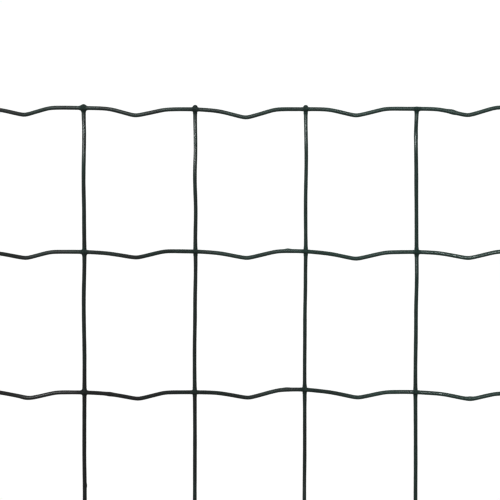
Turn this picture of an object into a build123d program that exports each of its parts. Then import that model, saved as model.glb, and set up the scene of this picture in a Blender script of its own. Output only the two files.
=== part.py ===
from build123d import *
import os

# A flat length of welded wire fencing, cut from a roll and laid on its back.
# X runs along the fence, Y up its height and Z out of its face, all in millimetres.
# Straight stay wires lie underneath. Crimped line wires cross over them, and every
# crossing is welded. The whole sheet was coated after welding, so it is one piece.

# The welded net
line_count = 7  # crimped wires, one above the other up the fence
line_pitch = 100.0  # from one line wire to the next
stay_count = 14  # straight wires, side by side along the fence
stay_pitch = 78.0  # from one stay wire to the next

# The wire
core_diameter = 2.0  # the steel inside
coat_thickness = 0.3  # the plastic over it
wire_sides = 8  # flat sides that stand for the round wire
weld_set_down = 0.4  # how far the two cores are pressed into each other at a weld

# The tension crimp, one in every mesh of a line wire
crimp_depth = 4.6  # from the weld down to the bottom of the crimp
crimp_offset = 2.3  # the crimp lies this far left of the middle of its mesh
crimp_fall = 19.0  # length of the side that goes down, along the fence
crimp_rise = 19.5  # length of the side that comes up again
crimp_land = 3.0  # short level stretch at the bottom
run_droop = 1.1  # the run over a weld comes down this much by the next crimp

# Ends and welds
line_overhang = 5.0  # the line wires are snipped this far past the end stays
stay_overhang = 2.6  # the stays end this far past the outermost line wires
stay_end_chamfer = 0.5  # the coating rounds off the stays' ends
web_fill = 0.5  # the coating fills each corner of a weld by this much


# What follows from them
wire_diameter = core_diameter + 2 * coat_thickness
layer_gap = core_diameter - weld_set_down
stay_z = wire_diameter / 2
line_z = stay_z + layer_gap
fence_length = (stay_count - 1) * stay_pitch
fence_height = (line_count - 1) * line_pitch
stay_x = [i * stay_pitch - fence_length / 2 for i in range(stay_count)]

# The outline runs from the lowest crimp to the top ends of the stays, and Y is 0 at
# the middle of it, so the lowest weld lies this far above the outline's lower edge.
lowest_reach = max(crimp_depth + wire_diameter / 2, stay_overhang)
outline_height = lowest_reach + fence_height + stay_overhang
line_y = [lowest_reach - outline_height / 2 + j * line_pitch for j in range(line_count)]


def wire_section(plane):
    """The wire's outline, a regular polygon that rests on one of its flats."""
    turn = 180 / wire_sides
    return plane * RegularPolygon(wire_diameter / 2, wire_sides, major_radius=False, rotation=turn)


def crimp_points():
    """One mesh of a line wire as X from the left stay and Y from the weld."""
    bottom = stay_pitch / 2 - crimp_offset
    fall_start = bottom - crimp_fall
    rise_end = bottom + crimp_rise
    run_start = rise_end - stay_pitch
    slope = run_droop / (fall_start - run_start)
    top = -slope * run_start
    return {
        "fall_start": (fall_start, -slope * fall_start),
        "land_start": (bottom - crimp_land / 2, -crimp_depth),
        "land_end": (bottom + crimp_land / 2, -crimp_depth),
        "rise_end": (rise_end, top),
        "slope": slope,
    }


def line_wire(y):
    """One crimped line wire: a straight run over each weld and a crimp in each mesh."""
    crimp = crimp_points()
    corners = ("fall_start", "land_start", "land_end", "rise_end")
    over = line_overhang
    path = [(stay_x[0] - over, y + crimp["slope"] * over, line_z)]
    for x in stay_x[:-1]:
        path += [(x + crimp[c][0], y + crimp[c][1], line_z) for c in corners]
    path.append((stay_x[-1] + over, y - crimp["slope"] * over, line_z))
    route = Polyline(*path)
    start = Plane(origin=path[0], z_dir=route % 0, x_dir=(0, 0, 1))
    return sweep(wire_section(start), path=route, transition=Transition.RIGHT)


def stay_wire(x):
    """One straight stay wire, with both ends rounded off by the coating."""
    low_end = line_y[0] - stay_overhang
    length = fence_height + 2 * stay_overhang
    start = Plane(origin=(x, low_end, stay_z), z_dir=(0, 1, 0), x_dir=(1, 0, 0))
    stay = extrude(wire_section(start), amount=length)
    ends = stay.faces().filter_by(Axis.Y)
    return chamfer(ends.edges(), stay_end_chamfer)


def weld_web(x, y):
    """The coating that fills the four corners between two welded wires.

    It is a square with slanted corners. Its ends stay within the wires' width.
    """
    reach = wire_diameter / 2 + web_fill + coat_thickness
    slant = 2 * reach - wire_diameter - web_fill
    square = Plane(origin=(x, y, stay_z)) * Rectangle(2 * reach, 2 * reach)
    return extrude(chamfer(square.vertices(), slant), amount=layer_gap)


def fence_sheet():
    """All the wires, fused at every weld."""
    lines = [line_wire(y) for y in line_y]
    stays = [stay_wire(x) for x in stay_x]
    webs = [weld_web(x, y) for x in stay_x for y in line_y]
    return Part() + lines + stays + webs


os.makedirs("parts", exist_ok=True)
export_step(fence_sheet(), "parts/welded_mesh.step", write_pcurves=False)
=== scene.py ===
import math

import bmesh
import bpy
import numpy as np
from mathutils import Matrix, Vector


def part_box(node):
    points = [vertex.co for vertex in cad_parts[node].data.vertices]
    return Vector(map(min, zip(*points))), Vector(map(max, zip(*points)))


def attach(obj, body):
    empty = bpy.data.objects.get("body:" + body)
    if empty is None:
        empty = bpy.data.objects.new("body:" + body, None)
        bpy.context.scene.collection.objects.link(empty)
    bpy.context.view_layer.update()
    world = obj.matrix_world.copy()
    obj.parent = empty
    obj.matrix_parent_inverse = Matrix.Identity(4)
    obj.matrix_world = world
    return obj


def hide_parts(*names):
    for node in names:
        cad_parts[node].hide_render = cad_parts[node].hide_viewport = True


# A flat length of welded garden fencing, laid on its back on a white table.
# X runs along the fence, Y up its height and Z out of its face, all in metres.
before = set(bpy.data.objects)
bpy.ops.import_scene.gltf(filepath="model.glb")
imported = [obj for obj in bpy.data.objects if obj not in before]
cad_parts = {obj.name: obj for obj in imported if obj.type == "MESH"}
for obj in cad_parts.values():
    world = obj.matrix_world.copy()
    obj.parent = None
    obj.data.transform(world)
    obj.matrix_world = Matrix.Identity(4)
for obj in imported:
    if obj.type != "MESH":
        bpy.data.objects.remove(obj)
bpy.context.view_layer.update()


# Stay wires
# The upright wires: drawn, galvanised steel, run off a coil through straightening
# rollers, cut to the fence's height and laid side by side under the line wires.
# The net was coated after welding, so the plastic rounds over their cut ends.
MM = 0.001
net_low, net_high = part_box("welded_mesh")

# The net's grid, set out from its middle and down from its top line wire.
wire_radius = 1.30 * MM
stay_pitch = 78 * MM
stay_count = 14
line_pitch = 100 * MM
line_count = 7
stay_overhang = 2.6 * MM
stay_z = wire_radius
stay_x = [(i - (stay_count - 1) / 2) * stay_pitch for i in range(stay_count)]
top_line_y = net_high.y - stay_overhang
line_y = [top_line_y - (line_count - 1 - j) * line_pitch for j in range(line_count)]

# A wire's skin is made of rings of points, which lie in these directions round it:
# 0 degrees is left of its run, 90 its face and 180 right of its run. A stay runs
# upwards and a line wire to the right, so there 0 is its upper edge.
wire_sides = 20
around = 2 * math.pi * np.arange(wire_sides) / wire_sides
stay_ring_step = 2 * MM
bead_rings = np.arange(-3, 3.5, 0.5) * MM
closest_stay_rings = 0.2 * MM
sharp_edge = math.radians(50)

# The coating over a stay's end is a dome, with rings at these turns of it.
stay_dome = 1.15 * MM
dome_turns = np.radians([0, 20, 40, 60, 75, 86])

# How far a wire's skin keeps above the foot of the net's solid, and how far a skin
# may stand over its top.
bottom_gap = 0.005 * MM
stand_over = 0.1 * MM
highest = net_high.z + stand_over

# How far the wires drift off their places and their coating is uneven, each with
# the lengths of its waves, and how far those lengths vary.
short_drift = 0.12 * MM
short_waves = (34 * MM, 52 * MM, 81 * MM)
long_drift = 0.25 * MM
long_waves = (420 * MM, 270 * MM)
coat_uneven = 0.02 * MM
coat_waves = (11 * MM, 23 * MM, 47 * MM)
least_stretch = 0.85
most_stretch = 1.15

# How far the stays' upper ends and their radii vary, and how much the coating
# swells towards every weld, from how far off.
height_spread = 0.2 * MM
thickness_spread = 0.02 * MM
weld_swell = 0.12 * MM
weld_swell_length = 7 * MM

# The four stays in the photograph are not quite straight: distance below the top
# line wire and distance off the stay's place to the right, in millimetres.
stay_bends = {
    5: (
        (0, -0.85), (18, -0.5), (50, -0.9), (76, -0.5), (105, -0.25), (137, -0.7),
        (180, -0.15), (240, -0.3), (276, 0.0),
    ),
    6: (
        (3, 0.0), (28, 0.3), (48, -0.15), (73, 0.45), (92, 0.2), (110, 0.4),
        (142, -0.05), (175, -0.4), (230, -0.15), (276, -0.25),
    ),
    7: (
        (2, 0.2), (34, 0.6), (70, 0.1), (95, 0.25), (120, 0.0), (150, -0.4),
        (185, -0.6), (240, -0.55), (276, -0.8),
    ),
    8: (
        (0, 0.65), (18, 0.1), (50, 0.35), (95, 0.5), (116, 0.65), (146, 0.1),
        (192, -0.3), (245, -0.1), (276, -0.2),
    ),
}
# As far down as these places reach, they drift by this share only. Below the last
# one their whole drift comes back over this length.
least_drift = 0.1
drift_return = 60 * MM
# How much larger than usual their radius is, and how much higher they end.
stay_thicker = {5: 0.05 * MM, 6: -0.03 * MM, 7: -0.08 * MM, 8: -0.01 * MM}
stay_higher = {5: 0.45 * MM, 6: 0.0, 7: -0.1 * MM, 8: -1.2 * MM}

# Stretches where their coating set smooth and shines: distance below the top line
# wire and half length, in millimetres, and how smooth it is, from 0 to 1. The
# other stays have some too, with each of the three between the limits given.
shiny_stretches = {
    5: ((20, 17, 1.0),),
    6: ((25, 20, 1.0),),
    7: ((15, 13, 0.85), (268, 8, 0.4)),
    8: ((6, 3, 0.6), (23, 6, 1.0), (111, 6, 1.0)),
}
shiny_limits = ((0, 600), (7, 24), (0.5, 1))
shiny_per_stay = 8

# Small beads and thicker places where the coating gathered: distance below the top
# line wire, direction round the wire in degrees, height and half length, in
# millimetres. The photograph shows these, and the stays outside it have beads with
# each of the four between the limits given.
seen_beads = {
    5: ((266.3, 180, 0.3, 1.2),),
    8: ((19.7, 0, 0.12, 2.5), (19.7, 180, 0.12, 2.5), (50, 0, 0.1, 9), (50, 180, 0.1, 9)),
}
bead_limits = ((15, 585), (0, 180), (0.15, 0.4), (0.8, 1.6))
beads_per_stay = 2
bead_tightness = 3

# The first numbers of the random draws for the stays and for their beads.
stay_seed = 100
bead_seed = 600


def wander(at, size, waves, draw):
    """A smooth random offset along a wire, from a few waves of the given lengths."""
    total = np.zeros_like(at)
    for length in waves:
        turn = draw.uniform(0, 2 * math.pi)
        stretch = draw.uniform(least_stretch, most_stretch)
        total += np.sin(2 * math.pi * at / (length * stretch) + turn)
    return size * total / math.sqrt(len(waves))


def eased(at, places, values):
    """Values between places, gently turned at each place."""
    k = np.clip(np.searchsorted(places, at) - 1, 0, len(places) - 2)
    part = np.clip((at - places[k]) / (places[k + 1] - places[k]), 0, 1)
    return values[k] + (values[k + 1] - values[k]) * (1 - np.cos(math.pi * part)) / 2


def apart(at, gap):
    """The places in order, without those that nearly touch the one before."""
    return at[np.concatenate([[True], np.diff(at) > gap])]


def swell_at(at, places, height, length):
    """How much thicker the coating is near each of the places along a wire."""
    total = np.zeros_like(at)
    for place in places:
        total += height * np.exp(-(((at - place) / length) ** 2))
    return total


def with_bead(radius, at, place, side, height, half_length):
    """The radii with a bead of coating on one side of the wire at one place."""
    along = np.exp(-(((at - place) / half_length) ** 2))
    round_it = np.exp(bead_tightness * (np.cos(around - math.radians(side)) - 1))
    return radius + height * along[:, None] * round_it[None, :]


def wire_rings(path, radius):
    """Rings of points round a path that lies level, with a radius for every point."""
    along = np.gradient(path, axis=0)
    along /= np.linalg.norm(along, axis=1)[:, None]
    side = np.stack([-along[:, 1], along[:, 0], np.zeros(len(path))], axis=1)
    across = side[:, None, :] * np.cos(around)[None, :, None]
    upward = np.array([0, 0, 1])[None, None, :] * np.sin(around)[None, :, None]
    rings = path[:, None, :] + (across + upward) * radius[:, :, None]
    rings[:, :, 2] = np.clip(rings[:, :, 2], net_low.z + bottom_gap, highest)
    return rings


def wire_object(name, rings, shine, material, cut_material=None, cut_bands=0):
    """A closed smooth skin over rings of points, with how shiny it is at each ring.

    The bands of faces at both ends can have a material of their own.
    """
    count = len(rings)
    points = rings.reshape(-1, 3)
    ring = np.arange(wire_sides)
    following = (ring + 1) % wire_sides
    faces = []
    for k in range(count - 1):
        here, there = k * wire_sides, (k + 1) * wire_sides
        corners = [here + ring, here + following, there + following, there + ring]
        faces += np.stack(corners, 1).tolist()
    faces.append(ring[::-1].tolist())
    faces.append(((count - 1) * wire_sides + ring).tolist())
    mesh = bpy.data.meshes.new(name)
    mesh.from_pydata(points.tolist(), [], faces)
    mesh.shade_smooth()
    mesh.set_sharp_from_angle(angle=sharp_edge)
    smoothness = mesh.attributes.new("shine", "FLOAT", "POINT")
    smoothness.data.foreach_set("value", np.repeat(shine, wire_sides))
    mesh.materials.append(material)
    if cut_material:
        mesh.materials.append(cut_material)
        cut = np.zeros(len(faces), dtype=int)
        cut[: cut_bands * wire_sides] = 1
        cut[-cut_bands * wire_sides - 2 :] = 1
        mesh.polygons.foreach_set("material_index", cut)
    piece = bpy.data.objects.new(name, mesh)
    bpy.context.scene.collection.objects.link(piece)
    return piece


# How the coating's colour drifts between a neutral dark and a lighter green, which is painted
# light and shade:
# lighter green where the wires are more lit, neutral dark where less. The scales of the drift
# and of the clouds in it, the clouds' share, and where green sets in.
lit_drift_place = 62.86
lit_drift_scale = 2.4
cloud_scale = 55
cloud_share = 0.35
green_from = 0.54
green_to = 0.79
# The depths of the skin's ripple between which its gloss changes.
ripple_low = 0.35
ripple_high = 0.65


def coat_group():
    """The plastic coating: its green with a drift of painted light and shade, its cloudiness and
    the ripple of its skin.
    """
    group = bpy.data.node_groups.new("coat_skin", "ShaderNodeTree")
    for name, kind in (
        ("Dark Green", "NodeSocketColor"),
        ("Lit Green", "NodeSocketColor"),
        ("Stretch", "NodeSocketVector"),
        ("Ripple Size", "NodeSocketFloat"),
        ("Smooth", "NodeSocketFloat"),
        ("Dull", "NodeSocketFloat"),
        ("Matt", "NodeSocketFloat"),
    ):
        group.interface.new_socket(name, in_out="INPUT", socket_type=kind)
    for name, kind in (
        ("Colour", "NodeSocketColor"),
        ("Roughness", "NodeSocketFloat"),
        ("Ripple", "NodeSocketFloat"),
    ):
        group.interface.new_socket(name, in_out="OUTPUT", socket_type=kind)
    nodes, links = group.nodes, group.links
    given = nodes.new("NodeGroupInput")
    result = nodes.new("NodeGroupOutput")
    place = nodes.new("ShaderNodeTexCoord")
    stretched = nodes.new("ShaderNodeVectorMath")
    stretched.operation = "MULTIPLY"
    links.new(place.outputs["Object"], stretched.inputs[0])
    links.new(given.outputs["Stretch"], stretched.inputs[1])

    # Broad drifts between neutral dark and a lighter green, painted light and shade, with small
    # clouds in them.
    drift = nodes.new("ShaderNodeTexNoise")
    drift.noise_dimensions = "4D"
    drift.inputs["W"].default_value = lit_drift_place
    drift.inputs["Scale"].default_value = lit_drift_scale
    drift.inputs["Detail"].default_value = 1.0
    clouds = nodes.new("ShaderNodeTexNoise")
    clouds.inputs["Scale"].default_value = cloud_scale
    clouds.inputs["Detail"].default_value = 2.0
    cloudy = nodes.new("ShaderNodeMath")
    cloudy.operation = "MULTIPLY_ADD"
    cloudy.inputs[1].default_value = cloud_share
    spread = nodes.new("ShaderNodeMapRange")
    spread.inputs["From Min"].default_value = green_from
    spread.inputs["From Max"].default_value = green_to
    colour = nodes.new("ShaderNodeMix")
    colour.data_type = "RGBA"
    links.new(place.outputs["Object"], drift.inputs["Vector"])
    links.new(place.outputs["Object"], clouds.inputs["Vector"])
    links.new(clouds.outputs["Fac"], cloudy.inputs[0])
    links.new(drift.outputs["Fac"], cloudy.inputs[2])
    links.new(cloudy.outputs["Value"], spread.inputs["Value"])
    links.new(spread.outputs["Result"], colour.inputs["Factor"])
    links.new(given.outputs["Dark Green"], colour.inputs["A"])
    links.new(given.outputs["Lit Green"], colour.inputs["B"])
    links.new(colour.outputs["Result"], result.inputs["Colour"])

    # The skin's ripple, drawn out along the wire, is glossier in its hollows.
    ripple = nodes.new("ShaderNodeTexNoise")
    ripple.inputs["Detail"].default_value = 4.0
    links.new(stretched.outputs["Vector"], ripple.inputs["Vector"])
    links.new(given.outputs["Ripple Size"], ripple.inputs["Scale"])
    links.new(ripple.outputs["Fac"], result.inputs["Ripple"])
    gloss = nodes.new("ShaderNodeMapRange")
    gloss.inputs["From Min"].default_value = ripple_low
    gloss.inputs["From Max"].default_value = ripple_high
    links.new(ripple.outputs["Fac"], gloss.inputs["Value"])
    links.new(given.outputs["Smooth"], gloss.inputs["To Min"])
    links.new(given.outputs["Dull"], gloss.inputs["To Max"])

    # Away from its shiny stretches the whole skin is duller by the same amount.
    shine = nodes.new("ShaderNodeAttribute")
    shine.attribute_name = "shine"
    loss = nodes.new("ShaderNodeMapRange")
    loss.inputs["To Max"].default_value = 0.0
    duller = nodes.new("ShaderNodeMath")
    duller.operation = "ADD"
    links.new(shine.outputs["Fac"], loss.inputs["Value"])
    links.new(given.outputs["Matt"], loss.inputs["To Min"])
    links.new(gloss.outputs["Result"], duller.inputs[0])
    links.new(loss.outputs["Result"], duller.inputs[1])
    links.new(duller.outputs["Value"], result.inputs["Roughness"])
    return group


coat_skin = coat_group()


def coat_material(name, dark, lit_green, stretch, ripple_size, smooth, dull, matt, relief):
    """One finish of the coating, with its own values in the shared group."""
    material = bpy.data.materials.new(name)
    material.use_nodes = True
    nodes, links = material.node_tree.nodes, material.node_tree.links
    shader = nodes["Principled BSDF"]
    skin = nodes.new("ShaderNodeGroup")
    skin.node_tree = coat_skin
    skin.inputs["Dark Green"].default_value = (*dark, 1)
    skin.inputs["Lit Green"].default_value = (*lit_green, 1)
    skin.inputs["Stretch"].default_value = stretch
    skin.inputs["Ripple Size"].default_value = ripple_size
    skin.inputs["Smooth"].default_value = smooth
    skin.inputs["Dull"].default_value = dull
    skin.inputs["Matt"].default_value = matt
    bump = nodes.new("ShaderNodeBump")
    bump.inputs["Strength"].default_value = 1.0
    bump.inputs["Distance"].default_value = relief
    links.new(skin.outputs["Colour"], shader.inputs["Base Color"])
    links.new(skin.outputs["Roughness"], shader.inputs["Roughness"])
    links.new(skin.outputs["Ripple"], bump.inputs["Height"])
    links.new(bump.outputs["Normal"], shader.inputs["Normal"])
    return material


# In each coat, the drift from its dark colour to its lighter green is painted light and shade:
# lighter where the wires are more lit, darker where less.
stay_coat = coat_material(
    "stay_coat",
    dark=(0.0085, 0.0093, 0.0090),
    lit_green=(0.0115, 0.0245, 0.0205),
    stretch=(1, 0.2, 1),
    ripple_size=900,
    smooth=0.19,
    dull=0.31,
    matt=0.60,
    relief=0.04 * MM,
)


def shiny_anywhere(draw):
    """Shiny stretches for a stay that the photograph doesn't show."""
    return zip(*[draw.uniform(*limits, shiny_per_stay) for limits in shiny_limits])


def bead_places(number):
    """The beads of coating on one stay, with those in the photograph as they are there."""
    if number in stay_bends:
        return seen_beads.get(number, ())
    draw = np.random.default_rng(bead_seed + number)
    return [[draw.uniform(*limits) for limits in bead_limits] for _ in range(beads_per_stay)]


def stay_ring_places(low, high, beads):
    """How high on a stay its rings are, from the foot of one dome to the other's top."""
    straight = np.arange(low + stay_dome, high - stay_dome, stay_ring_step)
    near_beads = [top_line_y - bead[0] * MM + bead_rings for bead in beads]
    straight = apart(np.unique(np.concatenate([straight, *near_beads])), closest_stay_rings)
    foot = low + stay_dome * (1 - np.sin(dome_turns[::-1]))
    head = high - stay_dome * (1 - np.sin(dome_turns))
    return np.concatenate([foot, straight[1:-1], head])


def stay_wire(number):
    """One stay, from under the bottom line wire to its rounded end above the top one."""
    draw = np.random.default_rng(stay_seed + number)
    beads = bead_places(number)
    low = line_y[0] - stay_overhang
    high = line_y[-1] + stay_overhang + stay_higher.get(number, draw.normal(0, height_spread))
    at = stay_ring_places(low, high, beads)
    off = wander(at, short_drift, short_waves, draw)
    off += wander(at, long_drift, long_waves, draw)
    if number in stay_bends:
        below, aside = np.array(stay_bends[number]).T * MM
        off *= np.clip((top_line_y - at - below[-1]) / drift_return, least_drift, 1)
        off += eased(top_line_y - at, below, aside)
    radius = wire_radius + wander(at, coat_uneven, coat_waves, draw)
    radius += stay_thicker.get(number, draw.normal(0, thickness_spread))
    radius += swell_at(at, line_y, weld_swell, weld_swell_length)
    radius[: len(dome_turns)] *= np.cos(dome_turns[::-1])
    radius[-len(dome_turns) :] *= np.cos(dome_turns)
    radius = np.repeat(radius[:, None], wire_sides, axis=1)
    for below, side, height, half_length in beads:
        place = top_line_y - below * MM
        radius = with_bead(radius, at, place, side, height * MM, half_length * MM)
    path = np.stack([stay_x[number] + off, at, np.full(len(at), stay_z)], axis=1)
    shine = np.zeros(len(at))
    for below, half_length, smooth in shiny_stretches.get(number, shiny_anywhere(draw)):
        beyond = (top_line_y - at - below * MM) / (half_length * MM)
        shine = np.maximum(shine, smooth * np.exp(-(beyond**4)))
    stay = wire_object(f"stay_wire_{number + 1:02d}", wire_rings(path, radius), shine, stay_coat)
    return stay, path


stay_paths = []
for number in range(stay_count):
    stay, path = stay_wire(number)
    stay_paths.append(path)
    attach(stay, "root")
    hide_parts("welded_mesh")


# Line wires
# The wires along the fence: the same drawn steel, run over toothed rollers that
# press one tension crimp into every mesh, then welded on top of the stays.
core_diameter = 2 * MM
# The weld presses the two cores this far into each other, the line wires took a
# little more coating than the stays, and they are snipped past the end stays.
set_down = 0.4 * MM
line_z = stay_z + core_diameter - set_down
line_thicker = 0.05 * MM
line_radius = wire_radius + line_thicker
line_overhang = 5 * MM

# A crimp as the rollers press it: its depth, how far left of the mesh's middle its
# bottom is, how long its falling and rising sides are, how far below the welds
# they start and end, and the bends at its shoulders, its bottom and the welds.
crimp_depth = 4.6 * MM
crimp_offset = 2.3 * MM
crimp_fall = 19 * MM
crimp_rise = 19.5 * MM
fall_drop = 1.1 * MM
rise_drop = 0.3 * MM
fall_knee = 5.5 * MM
rise_knee = 3.5 * MM
crimp_bend = 2.6 * MM
weld_bend = 9 * MM
# How far the right end hangs below its weld, and how often the corners are moved
# out until the rounded wire passes through its heights.
end_droop = 0.3 * MM
corner_rounds = 4

# How far the heights, the places of the bottoms and the lengths of the sides vary,
# and how far a line wire drifts off that shape.
crimp_spread = 0.3 * MM
aside_spread = 0.6 * MM
side_spread = 1.0 * MM
line_drift = 0.04 * MM
line_waves = (29 * MM, 43 * MM)

# The rings of points, closer together round each crimp's bottom and each lump, and
# the decimals of a metre that their places are rounded to.
line_ring_step = 2 * MM
bend_ring_step = 0.7 * MM
bend_ring_reach = 4 * MM
snip_rings = np.array([0.4, 0.8, 1.2, 1.6]) * MM
closest_line_rings = 0.25 * MM
ring_decimals = 6

# Their ends are snipped to a wedge: how steep its two sides are, how far the
# cutters press the coating in, how far back the wire is reshaped, the bore that
# the steel core fills, how far the coating shrank back round it, and how many
# bands of faces at each end show the coating's cut.
core_radius = core_diameter / 2
snip_wedge = 0.7
snip_squeeze = 0.16 * MM
snip_reach = 2.4 * MM
bore_play = 0.015 * MM
bore_radius = core_radius + bore_play
bore_depth = 1.3 * MM
coat_shrink = 0.06 * MM
bore_bands = 2

# The three line wires in the photograph, in millimetres: how high each weld sits
# off its place, how deep each crimp is, how far below the weld its falling side
# starts, how far its bottom is right of its place, how long its falling and its
# rising side are, and how far below the next weld it ends. The middle one was fed
# in a millimetre low.
row_shift = {5: -1.0}
weld_lifts = {
    6: (0.3, 0.35, -0.6, -0.45, -0.2, 0.6),
    5: (0.0, -0.25, 0.1, 0.2, -0.25, 0.1),
    4: (0.1, -0.35, -0.2, 1.6, -0.15, -1.1),
}
crimp_depths = {
    6: (4.7, 4.7, 5.75, 4.5, 4.8),
    5: (4.2, 3.95, 4.5, 4.8, 4.35),
    4: (3.95, 4.35, 4.6, 4.5, 4.3),
}
fall_drops = {
    6: (1.5, 0.8, 1.5, 0.5, 0.55),
    5: (1.4, 0.95, 1.4, 1.9, 0.8),
    4: (0.1, 1.0, 0.4, 1.8, 1.3),
}
crimp_asides = {
    6: (-0.95, -0.9, -0.8, -1.1, -0.2),
    5: (0.35, 0.1, -0.05, -1.05, 0.1),
    4: (2.7, 1.15, 0.95, 0.1, 1.5),
}
crimp_falls = {
    6: (16.5, 18.5, 18.8, 19.5, 20.4),
    5: (18.1, 20.5, 18.3, 18.2, 20.9),
    4: (22.5, 20.3, 22.0, 19.5, 19.7),
}
crimp_rises = {
    6: (17.6, 20.7, 20.6, 20.4, 19.7),
    5: (17.4, 19.7, 21.0, 20.9, 19.9),
    4: (18.5, 19.0, 21.7, 19.7, 17.8),
}
rise_drops = {
    6: (0.1, 0.36, 0.5, 0.3, 0.2),
    5: (0.1, 0.05, 0.15, 0.5, 0.4),
    4: (0.2, 0.35, 0.35, 0.1, 0.3),
}
# These start at the weld and the mesh of this number, and cover so many meshes.
first_seen = 4
meshes_seen = 5

# Lumps where the coating gathered: row, place along the wire in millimetres,
# direction round it in degrees, height and half length in millimetres. These are in
# the photograph. Other stretches have some with the last three between the limits
# given, on the upper edge or mirrored to the lower one.
seen_lumps = (
    (6, 142.3, 10, 0.55, 2.8),
    (6, 142.8, 175, 0.3, 2.6),
    (5, 26.5, 15, 0.55, 2.0),
    (4, -159.0, 175, 0.35, 3.0),
    (4, -99.0, 0, 0.2, 2.0),
    (4, -99.5, 180, 0.2, 2.0),
    (4, 25.8, 5, 0.25, 2.4),
    (4, 155.0, 20, 0.6, 2.4),
)
lump_limits = ((-40, 30), (0.1, 0.4), (1.5, 3.5))
lumps_per_row = 5

# Where the coating of these three wires set smooth and shines: place along the wire
# in millimetres, and how smooth it is there, from 0 to 1. Elsewhere it varies.
line_shine = {
    6: (
        (-178, 0.25), (-150, 0.3), (-133, 0.6), (-115, 0.8), (-97, 0.85), (-80, 0.6),
        (-62, 0.9), (-44, 0.3), (-27, 0.8), (-9, 0.7), (8, 0.45), (26, 0.3),
        (44, 0.5), (61, 0.8), (97, 0.6), (132, 0.65), (178, 0.55),
    ),
    5: (
        (-178, 0.0), (-168, 0.0), (-150, 0.35), (-133, 0.6), (-115, 0.15), (-62, 0.0),
        (-40, 0.1), (-27, 0.4), (8, 0.3), (26, 0.7), (44, 0.1), (61, 0.2), (79, 0.35),
        (97, 0.75), (114, 0.5), (132, 1.0), (178, 1.0),
    ),
    4: (
        (-178, 0.0), (-168, 0.0), (-155, 0.85), (-133, 0.9), (-115, 0.0), (-9, 0.0),
        (8, 0.3), (26, 0.4), (44, 0.0), (61, 0.1), (79, 0.3), (97, 0.4),
        (114, 0.85), (132, 1.0), (150, 0.65), (178, 0.65),
    ),
}
usual_shine = 0.6
shine_spread = 0.4
shine_waves = (60 * MM, 110 * MM, 190 * MM)

# The first numbers of the random draws for the line wires and for their snips.
line_seed = 200
snip_seed = 400

# As with the stays, the drift from dark to lighter green in these coats is painted light and
# shade.
line_coat = coat_material(
    "line_coat",
    dark=(0.0115, 0.0123, 0.0120),
    lit_green=(0.0142, 0.0298, 0.0250),
    stretch=(0.2, 1, 1),
    ripple_size=700,
    smooth=0.22,
    dull=0.34,
    matt=0.62,
    relief=0.025 * MM,
)
cut_coat = coat_material(
    "cut_coat",
    dark=(0.022, 0.030, 0.027),
    lit_green=(0.024, 0.046, 0.038),
    stretch=(1, 1, 1),
    ripple_size=2600,
    smooth=0.50,
    dull=0.70,
    matt=0.0,
    relief=0.03 * MM,
)


def bent_line(at, places, heights, bends):
    """Height along a wire that runs straight between corners and is rounded at each."""
    slopes = np.diff(heights) / np.diff(places)
    height = heights[0] + slopes[0] * (at - places[0])
    for turn, place, bend in zip(np.diff(slopes), places[1:-1], bends[1:-1]):
        beyond = at - place
        height += turn * (beyond + np.sqrt(beyond**2 + bend**2)) / 2
    return height


def bent_through(at, places, heights, bends):
    """The same rounded wire, with its corners moved out until it passes the heights."""
    corners = heights.copy()
    for _ in range(corner_rounds):
        corners += heights - bent_line(places, places, corners, bends)
    return bent_line(at, places, corners, bends)


def as_seen(values, seen, row):
    """A value for every weld or mesh, with those in the photograph as they are there."""
    if row in seen:
        values[first_seen : first_seen + len(seen[row])] = np.array(seen[row]) * MM
    return values


def line_corners(row, draw):
    """The corners that one line wire is bent at: their places, heights and bends."""
    meshes = stay_count - 1
    lifts = as_seen(draw.normal(0, crimp_spread, stay_count), weld_lifts, row)
    depths = as_seen(draw.normal(crimp_depth, crimp_spread, meshes), crimp_depths, row)
    drops = as_seen(draw.normal(fall_drop, crimp_spread, meshes), fall_drops, row)
    asides = as_seen(draw.normal(0, aside_spread, meshes), crimp_asides, row)
    falls = as_seen(draw.normal(crimp_fall, side_spread, meshes), crimp_falls, row)
    rises = as_seen(draw.normal(crimp_rise, side_spread, meshes), crimp_rises, row)
    ends = as_seen(np.full(meshes, rise_drop), rise_drops, row)
    corners = [(stay_x[0] - line_overhang, lifts[0], 0)]
    for i in range(meshes):
        # The falling side starts half as far off its place as the bottom lies.
        bottom = stay_x[i] + stay_pitch / 2 - crimp_offset + asides[i]
        middle = (lifts[i] + lifts[i + 1]) / 2
        corners.append((stay_x[i], lifts[i], weld_bend))
        corners.append((bottom - asides[i] / 2 - falls[i], lifts[i] - drops[i], fall_knee))
        corners.append((bottom, middle - depths[i], crimp_bend))
        corners.append((bottom + rises[i], lifts[i + 1] - ends[i], rise_knee))
    corners.append((stay_x[-1], lifts[-1], weld_bend))
    corners.append((stay_x[-1] + line_overhang, lifts[-1] - end_droop, 0))
    return corners


def lump_places(row, draw):
    """The lumps on one line wire, with those in the photograph as they are there."""
    lumps = [lump[1:] for lump in seen_lumps if lump[0] == row]
    seen = (stay_x[first_seen] / MM, stay_x[first_seen + meshes_seen] / MM)
    for _ in range(lumps_per_row):
        place = draw.uniform(stay_x[0], stay_x[-1]) / MM
        side, height, half_length = [draw.uniform(*limits) for limits in lump_limits]
        side = 180 - side if draw.random() < 0.5 else side
        if row not in weld_lifts or not seen[0] < place < seen[1]:
            lumps.append((place, side, height, half_length))
    return lumps


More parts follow.
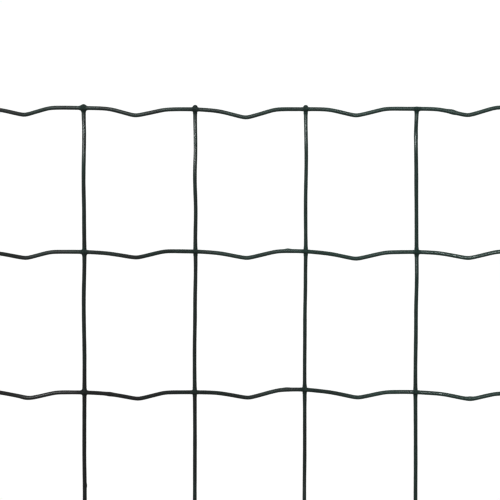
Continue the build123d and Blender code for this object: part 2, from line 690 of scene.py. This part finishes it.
def line_ring_places(corners, lumps):
    """How far along a line wire its rings are, from one snipped end to the other."""
    start, end = corners[0][0], corners[-1][0]
    coarse = np.arange(start, end, line_ring_step)
    fine = np.arange(-bend_ring_reach, bend_ring_reach, bend_ring_step)
    bottoms = [place for place, _, bend in corners if bend == crimp_bend]
    busy = np.array(bottoms + [lump[0] * MM for lump in lumps])
    near_busy = (busy[:, None] + fine[None, :]).ravel()
    at = np.concatenate([coarse, near_busy, start + snip_rings, end - snip_rings, [end]])
    at = apart(np.unique(np.round(at[at <= end], ring_decimals)), closest_line_rings)
    at[-1] = end
    return at


def ridge_turns(row):
    """Which way round the ridge of each snip lies: across the wire's face, or a side off."""
    draw = np.random.default_rng(snip_seed + row)
    return np.radians(90 + 360 / wire_sides * draw.integers(-1, 2, 2))


def snipped(rings, path, ridges):
    """The same rings with a wedge at both ends, and the bore for the core in them."""
    along = np.array([path[1] - path[0], path[-2] - path[-1]])
    along /= np.linalg.norm(along, axis=1)[:, None]
    bores = []
    for end, inward, ridge in zip((0, -1), along, ridges):
        beside = np.abs(np.sin(around - ridge))[:, None]
        depth = (path - path[end]) @ inward
        outward = rings[end] - path[end]
        outward /= np.linalg.norm(outward, axis=1)[:, None]
        for k in np.flatnonzero(depth < snip_reach):
            near = 1 - depth[k] / snip_reach
            rings[k] -= outward * snip_squeeze * beside**2 * near**2
            out = np.linalg.norm(rings[k] - path[k], axis=1)[:, None]
            rings[k] += inward * snip_wedge * out * beside * near
        wall = path[end] + outward * bore_radius
        lip = wall + inward * (snip_wedge * bore_radius * beside + coat_shrink)
        bores.append([wall + inward * bore_depth, lip])
    return np.concatenate([bores[0], rings, bores[1][::-1]])


def line_wire(row):
    """One line wire, with a weld on every stay and a crimp in every mesh."""
    draw = np.random.default_rng(line_seed + row)
    corners = line_corners(row, draw)
    lumps = lump_places(row, draw)
    at = line_ring_places(corners, lumps)
    level = line_y[row] + row_shift.get(row, 0) * MM
    height = level + bent_through(at, *np.array(corners).T)
    height += wander(at, line_drift, line_waves, draw)
    radius = line_radius + wander(at, coat_uneven, coat_waves, draw)
    radius = np.repeat(radius[:, None], wire_sides, axis=1)
    for place, side, lump, half_length in lumps:
        radius = with_bead(radius, at, place * MM, side, lump * MM, half_length * MM)
    path = np.stack([at, height, np.full(len(at), line_z)], axis=1)
    shine = np.clip(usual_shine + wander(at, shine_spread, shine_waves, draw), 0, 1)
    if row in line_shine:
        places, smooth = np.array(line_shine[row]).T
        seen = (at > places[0] * MM) & (at < places[-1] * MM)
        shine = np.where(seen, eased(at, places * MM, smooth), shine)
    rings = snipped(wire_rings(path, radius), path, ridge_turns(row))
    skin = np.pad(shine, bore_bands, mode="edge")
    wire = wire_object(f"line_wire_{row + 1}", rings, skin, line_coat, cut_coat, bore_bands)
    return wire, path, shine


line_paths = []
line_shines = []
for row in range(line_count):
    wire, path, shine = line_wire(row)
    line_paths.append(path)
    line_shines.append(shine)
    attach(wire, "root")
    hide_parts("welded_mesh")


# Weld coats
# Where a line wire is welded on a stay, the plastic ran together while it was hot
# and set as one thick skin that rounds off the corners between the two wires. On
# the net's edges it also rounds over the stay's end.

# How far the coating fills the corners between the wires, and how far that varies.
coat_pool = 1.4 * MM
pool_spread = 0.4 * MM
least_pool = 0.6 * MM
most_pool = 2.4 * MM
# How far it fills those above and below the line wire at each weld in the
# photograph, by row and stay, in millimetres.
seen_pools = {
    (6, 5): (2.3, 2.4), (6, 6): (1.5, 1.2), (6, 7): (1.0, 0.7), (6, 8): (0.8, 1.6),
    (5, 5): (1.5, 2.1), (5, 6): (0.7, 0.6), (5, 7): (0.6, 0.6), (5, 8): (1.3, 1.6),
    (4, 5): (2.0, 1.7), (4, 6): (1.2, 1.3), (4, 7): (1.2, 1.2), (4, 8): (0.8, 0.6),
}

# The skin lies this much over both wires, and from the edge distance on it dives
# into them, so that it is gone where its reach ends.
weld_cover = 0.05 * MM
weld_edge = 2.6 * MM
weld_reach = 4.4 * MM
weld_sink = 0.3 * MM
sink_curve = 1.5

# It is uneven, with a few long waves round it, and dull near the weld.
weld_lumpy = 0.05 * MM
lumpy_waves = 3
lumpy_turns = 2.2
dull_within = 1.4 * MM
shiny_beyond = 3.2 * MM

# On the net's edges it thickens into a bead over the stay's end: how much, and how
# soon on the way there the bead starts and how fast it grows.
end_bead = 0.28 * MM
bead_start = 0.2
bead_growth = 2

# How a skin is found: how finely its directions are split, how many halvings find
# its surface in each, and how far from the weld the wires' slants are read.
sphere_rounds = 4
halvings = 16
slant_reach = 3 * MM
weld_seed = 300

# As with the stays, the drift from dark to lighter green in this coat is painted light and
# shade.
weld_coat = coat_material(
    "weld_coat",
    dark=(0.011, 0.014, 0.013),
    lit_green=(0.012, 0.0275, 0.023),
    stretch=(1, 1, 1),
    ripple_size=700,
    smooth=0.22,
    dull=0.38,
    matt=0.62,
    relief=0.04 * MM,
)


def round_directions(rounds):
    """Even directions to all sides and the triangles between them."""
    ball = bmesh.new()
    bmesh.ops.create_icosphere(ball, subdivisions=rounds, radius=1)
    directions = np.array([point.co[:] for point in ball.verts])
    triangles = np.array([[point.index for point in face.verts] for face in ball.faces])
    ball.free()
    return directions, triangles


def sink(place):
    """How far the skin has dived into a wire at a distance along it from the weld."""
    past_edge = (np.abs(place) - weld_edge) / (weld_reach - weld_edge)
    return weld_sink * np.clip(past_edge, 0, 1) ** sink_curve


def coat_depth(points, slope, lean, foot, head, pools):
    """How far points round a weld are outside its skin, negative inside it."""
    x, y, z = points.T
    pool = pools[1] + (pools[0] - pools[1]) * np.clip(0.5 + y / (2 * wire_radius), 0, 1)
    half_gap = (line_z - stay_z) / 2
    from_line = np.hypot(y - slope * x, z - half_gap) - line_radius - weld_cover + sink(x)
    to_end = np.maximum(y / head, y / foot)
    bead = end_bead * np.clip(bead_growth * to_end - bead_start, 0, 1)
    past_end = y - np.clip(y, foot + wire_radius + end_bead, head - wire_radius - end_bead)
    from_stay = np.sqrt((x - lean * y) ** 2 + past_end**2 + (z + half_gap) ** 2)
    from_stay = from_stay - wire_radius - weld_swell - weld_cover + sink(y) - bead
    # Where both wires are about as near, the coating fills the corner between them.
    near = np.clip(1 - np.abs(from_line - from_stay) / pool, 0, 1)
    return np.minimum(from_line, from_stay) - near**2 * pool / 4


def weld_skin(directions, slope, lean, foot, head, pools, draw):
    """Points on the skin of one weld, one in each direction from its middle."""
    uneven = np.zeros(len(directions))
    for _ in range(lumpy_waves):
        wave = draw.normal(0, lumpy_turns, 3)
        uneven += np.sin(directions @ wave + draw.uniform(0, 2 * math.pi))
    near, far = np.zeros(len(directions)), np.full(len(directions), weld_reach)
    for _ in range(halvings):
        reach = (near + far) / 2
        inside = coat_depth(directions * reach[:, None], slope, lean, foot, head, pools) < 0
        near = np.where(inside, reach, near)
        far = np.where(inside, far, reach)
    rise = weld_lumpy * (1 + uneven / lumpy_waves) * (1 - near / weld_reach)
    return directions * (near + rise)[:, None]


def slant(place, path, along, across):
    """How much a path slants at a place along it, read on both sides of the place."""
    beside = [place - slant_reach, place + slant_reach]
    before, after = np.interp(beside, path[:, along], path[:, across])
    return (after - before) / (2 * slant_reach)


def weld_coats(row, directions, triangles):
    """All the weld coats along one line wire, as one piece."""
    draw = np.random.default_rng(weld_seed + row)
    line = line_paths[row]
    points, faces, shine = [], [], []
    for number, path in enumerate(stay_paths):
        place = path[np.argmin(np.abs(path[:, 1] - line_y[row])), 0]
        height = np.interp(place, line[:, 0], line[:, 1])
        place = np.interp(height, path[:, 1], path[:, 0])
        slope, lean = slant(place, line, 0, 1), slant(height, path, 1, 0)
        foot, head = path[0, 1] - height, path[-1, 1] - height
        pools = np.clip(draw.normal(coat_pool, pool_spread, 2), least_pool, most_pool)
        if (row, number) in seen_pools:
            pools = np.array(seen_pools[row, number]) * MM
        skin = weld_skin(directions, slope, lean, foot, head, pools, draw)
        faces.append(triangles + sum(len(each) for each in points))
        points.append(skin + np.array([place, height, (stay_z + line_z) / 2]))
        smooth = np.interp(place, line[:, 0], line_shines[row])
        shine.append(np.interp(np.abs(skin[:, 0]), [dull_within, shiny_beyond], [0, smooth]))
    points = np.concatenate(points)
    points[:, 2] = np.clip(points[:, 2], net_low.z, highest)
    mesh = bpy.data.meshes.new(f"weld_coats_{row + 1}")
    mesh.from_pydata(points.tolist(), [], np.concatenate(faces).tolist())
    smoothness = mesh.attributes.new("shine", "FLOAT", "POINT")
    smoothness.data.foreach_set("value", np.concatenate(shine))
    mesh.shade_smooth()
    mesh.materials.append(weld_coat)
    coats = bpy.data.objects.new(mesh.name, mesh)
    bpy.context.scene.collection.objects.link(coats)
    return coats


directions, triangles = round_directions(sphere_rounds)
for row in range(line_count):
    coats = weld_coats(row, directions, triangles)
    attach(coats, "root")
    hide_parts("welded_mesh")


# Cut ends
# The steel cores of the line wires, bare where the length was snipped off its roll
# with side cutters. The cutters' two bevels left each one with a sharp ridge.

# How far a ridge stands past its wire's end, how deep its core starts in the bore,
# the parts of its radius at which the cut has rings, half the ridge's flat and the
# roughness of the cut.
core_out = 0.28 * MM
core_depth = 1.2 * MM
core_parts = (1, 0.8, 0.6, 0.4, 0.2, 0.02)
ridge_land = 0.05 * MM
burr = 0.015 * MM
core_seed = 500

# Sheared steel, with fine marks drawn out across the cut, and the zinc round it.
steel_dark = (0.16, 0.16, 0.17, 1)
steel_bright = (0.56, 0.56, 0.57, 1)
zinc = (0.62, 0.64, 0.67, 1)
steel_smooth = 0.22
steel_rough = 0.55
mark_scale = 9000
mark_stretch = (0.12, 0.12, 1)
mark_relief = 0.02 * MM


def steel_material():
    """Freshly sheared steel, with shear marks down both sides and a zinc skin round it."""
    material = bpy.data.materials.new("cut_steel")
    material.use_nodes = True
    nodes, links = material.node_tree.nodes, material.node_tree.links
    shader = nodes["Principled BSDF"]
    shader.inputs["Metallic"].default_value = 1.0
    place = nodes.new("ShaderNodeTexCoord")
    stretched = nodes.new("ShaderNodeVectorMath")
    stretched.operation = "MULTIPLY"
    stretched.inputs[1].default_value = mark_stretch
    marks = nodes.new("ShaderNodeTexNoise")
    marks.inputs["Scale"].default_value = mark_scale
    marks.inputs["Detail"].default_value = 3.0
    gloss = nodes.new("ShaderNodeMapRange")
    gloss.inputs["To Min"].default_value = steel_smooth
    gloss.inputs["To Max"].default_value = steel_rough
    skin = nodes.new("ShaderNodeAttribute")
    skin.attribute_name = "shine"
    steel = nodes.new("ShaderNodeMix")
    steel.data_type = "RGBA"
    steel.inputs["A"].default_value = steel_dark
    steel.inputs["B"].default_value = steel_bright
    colour = nodes.new("ShaderNodeMix")
    colour.data_type = "RGBA"
    colour.inputs["B"].default_value = zinc
    bump = nodes.new("ShaderNodeBump")
    bump.inputs["Distance"].default_value = mark_relief
    links.new(place.outputs["Object"], stretched.inputs[0])
    links.new(stretched.outputs["Vector"], marks.inputs["Vector"])
    links.new(marks.outputs["Fac"], gloss.inputs["Value"])
    links.new(marks.outputs["Fac"], bump.inputs["Height"])
    links.new(marks.outputs["Fac"], steel.inputs["Factor"])
    links.new(steel.outputs["Result"], colour.inputs["A"])
    links.new(skin.outputs["Fac"], colour.inputs["Factor"])
    links.new(colour.outputs["Result"], shader.inputs["Base Color"])
    links.new(gloss.outputs["Result"], shader.inputs["Roughness"])
    links.new(bump.outputs["Normal"], shader.inputs["Normal"])
    return material


def cut_core(name, tip, outward, ridge, draw):
    """The end of one core, from inside its coating to the ridge that sticks out of it."""
    side = np.array([-outward[1], outward[0], 0]) * math.copysign(1, outward[0])
    across = side * np.cos(around)[:, None] + np.array([0, 0, 1]) * np.sin(around)[:, None]
    beside = np.abs(np.sin(around - ridge))[:, None]
    rings = [tip + across * core_radius - outward * core_depth]
    for part in core_parts:
        back = snip_wedge * np.maximum(part * core_radius * beside - ridge_land, 0)
        rough = draw.normal(0, burr, (wire_sides, 1)) * part
        rings.append(tip + across * part * core_radius + outward * (core_out - back + rough))
    rings = np.array(rings)
    # Zinc covers the core's side, and its cut face is bare steel.
    skin = np.array([1, 1] + [0] * (len(core_parts) - 1))
    if outward[0] < 0:
        rings = rings[::-1]
        skin = skin[::-1]
    return wire_object(name, rings, skin, cut_steel)


cut_steel = steel_material()
for row, path in enumerate(line_paths):
    draw = np.random.default_rng(core_seed + row)
    ends = (("left", path[0], path[0] - path[1]), ("right", path[-1], path[-1] - path[-2]))
    for (place, tip, outward), ridge in zip(ends, ridge_turns(row)):
        outward = outward / np.linalg.norm(outward)
        core = cut_core(f"cut_core_{row + 1}_{place}", tip, outward, ridge, draw)
        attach(core, "root")
        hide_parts("welded_mesh")


# The table and the light
# A white table that the net lies on. To the camera it is plain white, and it
# throws less light back at the wires, as white card well below them would.
table_size = 40.0
table_gap = 0.02 * MM
table_seen = 1.02
world_seen = 1.0
white_cast = 0.8


def white_level(tree, seen):
    """A strength for a white glow, as the camera sees it and as it lights the wires."""
    light_path = tree.nodes.new("ShaderNodeLightPath")
    level = tree.nodes.new("ShaderNodeMapRange")
    level.inputs["To Min"].default_value = white_cast
    level.inputs["To Max"].default_value = seen
    tree.links.new(light_path.outputs["Is Camera Ray"], level.inputs["Value"])
    return level.outputs["Result"]


table_white = bpy.data.materials.new("table_white")
table_white.use_nodes = True
nodes, links = table_white.node_tree.nodes, table_white.node_tree.links
nodes.clear()
glow = nodes.new("ShaderNodeEmission")
out = nodes.new("ShaderNodeOutputMaterial")
links.new(white_level(table_white.node_tree, table_seen), glow.inputs["Strength"])
links.new(glow.outputs["Emission"], out.inputs["Surface"])

half = table_size / 2
table_corners = [(-half, -half, 0), (half, -half, 0), (half, half, 0), (-half, half, 0)]
table_mesh = bpy.data.meshes.new("table")
table_mesh.from_pydata(table_corners, [], [(0, 1, 2, 3)])
table_mesh.materials.append(table_white)
table = bpy.data.objects.new("table", table_mesh)
table.location.z = net_low.z - table_gap
bpy.context.scene.collection.objects.link(table)

world = bpy.data.worlds.new("studio")
bpy.context.scene.world = world
world.use_nodes = True
backdrop = world.node_tree.nodes["Background"]
backdrop.inputs["Color"].default_value = (1, 1, 1, 1)
strength = backdrop.inputs["Strength"]
world.node_tree.links.new(white_level(world.node_tree, world_seen), strength)


def softbox(name, place, target, width, height, power):
    """A soft rectangular lamp that faces its target and isn't itself in the picture."""
    lamp = bpy.data.lights.new(name, "AREA")
    lamp.shape = "RECTANGLE"
    lamp.size = width
    lamp.size_y = height
    lamp.energy = power
    holder = bpy.data.objects.new(name, lamp)
    holder.location = place
    holder.rotation_mode = "QUATERNION"
    holder.rotation_quaternion = (Vector(target) - Vector(place)).to_track_quat("-Z", "Y")
    holder.visible_camera = False
    bpy.context.scene.collection.objects.link(holder)


# Each lamp's place, the point it faces, its width, height and power. Those called
# windows are the ones whose reflections make the streaks of light on the wires.
for lamp in (
    ("left_window", (-1.0, 0.66, 1.2), (0, 0.28, 0), 0.90, 0.40, 33.0),
    ("far_left_window", (-0.46, 0.56, 1.2), (-0.15, 0.2, 0), 0.15, 0.14, 6.5),
    ("far_right_window", (0.41, 0.58, 1.2), (0.15, 0.2, 0), 0.18, 0.14, 8.0),
    ("middle_window", (-0.15, 1.1, 1.2), (-0.06, 0.25, 0), 0.3, 0.14, 4.0),
    ("overhead_window", (0.063, 0.2, 1.2), (0.063, 0.2, 0), 0.10, 0.06, 1.2),
    ("right_wall", (0.5, 0.0, 1.1), (0.1, 0.15, 0), 0.6, 1.0, 4.5),
    ("top_window", (0.0, 0.80, 0.34), (0, 0.3, 0), 1.0, 0.16, 2.0),
    ("ceiling", (0.3, 0.4, 1.7), (0, 0.2, 0), 1.4, 1.0, 0.8),
):
    softbox(*lamp)

# The camera looks straight down on the upper edge, as the photograph does, with
# its middle just beside the middle of the second line wire from the top.
pixels = 500
pixel_size = 0.7055 * MM
view_left = 0.2 * MM
view_above = 0.2 * MM
sensor = 36.0
lens = 85.0
view_gamma = 0.6
camera_distance = pixels * pixel_size * lens / sensor
camera_data = bpy.data.cameras.new("camera")
camera_data.lens = lens
camera_data.sensor_width = sensor
camera = bpy.data.objects.new("camera", camera_data)
camera.location = (-view_left, line_y[-2] + view_above, line_z + camera_distance)
bpy.context.scene.collection.objects.link(camera)
bpy.context.scene.camera = camera
bpy.context.scene.view_settings.view_transform = "Standard"
bpy.context.scene.view_settings.gamma = view_gamma
